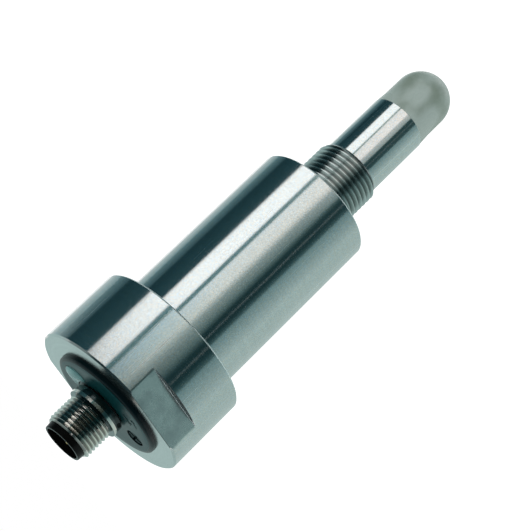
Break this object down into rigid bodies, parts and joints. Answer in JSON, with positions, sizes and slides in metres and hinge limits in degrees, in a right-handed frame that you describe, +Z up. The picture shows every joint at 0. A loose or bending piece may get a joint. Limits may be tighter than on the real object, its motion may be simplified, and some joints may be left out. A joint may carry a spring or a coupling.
{
  "type": "capacitive proximity sensor",
  "caption": "Screw-in capacitive probe sensor: stainless stepped body with wrench flats, pipe thread, domed plastic sensing tip, plug connector, status lens and sensitivity trimmer.",
  "frame": {"origin": "on the housing's axis, on the front face of the body, where the process thread begins and the body seals on the vessel", "axes": "+Z up the axis from the process thread to the plug connector, so the sensing tip points along -Z; +X and -X are the normals of the two wrench flats"},
  "size_m": [0.04, 0.04, 0.1271],
  "materials": {
    "stainless_steel": "fine turned, bright",
    "probe_plastic": "smooth satin, grey-green",
    "seal_rubber": "matt black",
    "electrode_brass": "turned",
    "holder_plastic": "natural, turned",
    "wire_sleeve": "smooth insulation",
    "board_laminate": "green lacquer",
    "chip_resin": "moulded resin",
    "choke_ferrite": "ferrite grey",
    "capacitor_resin": "moulded, ochre",
    "capacitor_ceramic": "ceramic, tan",
    "resistor_ceramic": "ceramic, black",
    "lamp_body": "white moulded",
    "lens_clear": "milky clear, smooth",
    "cap_black_plastic": "moulded black, satin gloss",
    "trimmer_blue": "moulded",
    "screw_metal": "zinc plated",
    "nickel_plate": "nickel plated, bright",
    "spring_steel": "plain",
    "insert_black_plastic": "moulded black",
    "contact_gold": "gold flashed"
  },
  "bodies": {
    "sensor_body": {"active_electrode": "electrode_brass", "board_carrier": "holder_plastic", "board_header": "chip_resin", "cap_seal_ring": "seal_rubber", "chip_capacitors": "capacitor_ceramic", "chip_resistors": "resistor_ceramic", "circuit_board": "board_laminate", "comparator_chip": "chip_resin", "connector_insert": "insert_black_plastic", "connector_retainer": "spring_steel", "connector_shell": "nickel_plate", "contact_pin_1": "contact_gold", "contact_pin_2": "contact_gold", "contact_pin_3": "contact_gold", "contact_pin_4": "contact_gold", "electrode_holder": "holder_plastic", "electrode_lead": "wire_sleeve", "end_cap": "cap_black_plastic", "end_cap_seal": "seal_rubber", "flange_seal": "seal_rubber", "guard_electrode": "electrode_brass", "guard_lead": "wire_sleeve", "housing": "stainless_steel", "lamp_lens": "lens_clear", "oscillator_chip": "chip_resin", "output_driver": "chip_resin", "protection_diode": "chip_resin", "rear_board": "board_laminate", "sensing_cap": "probe_plastic", "status_lamp": "lamp_body", "storage_capacitor": "capacitor_resin", "supply_choke": "choke_ferrite", "trimmer_body": "trimmer_blue", "voltage_regulator": "chip_resin"},
    "trimmer_rotor": {"trimmer_screw": "screw_metal"}
  },
  "joints": [
    {"name": "trimmer_turn", "type": "hinge", "parent": "sensor_body", "child": "trimmer_rotor", "pos_m": [0.00496, -0.0081, 0.0686], "axis": [0, 0, 1], "range_deg": [-135, 135]}
  ]
}
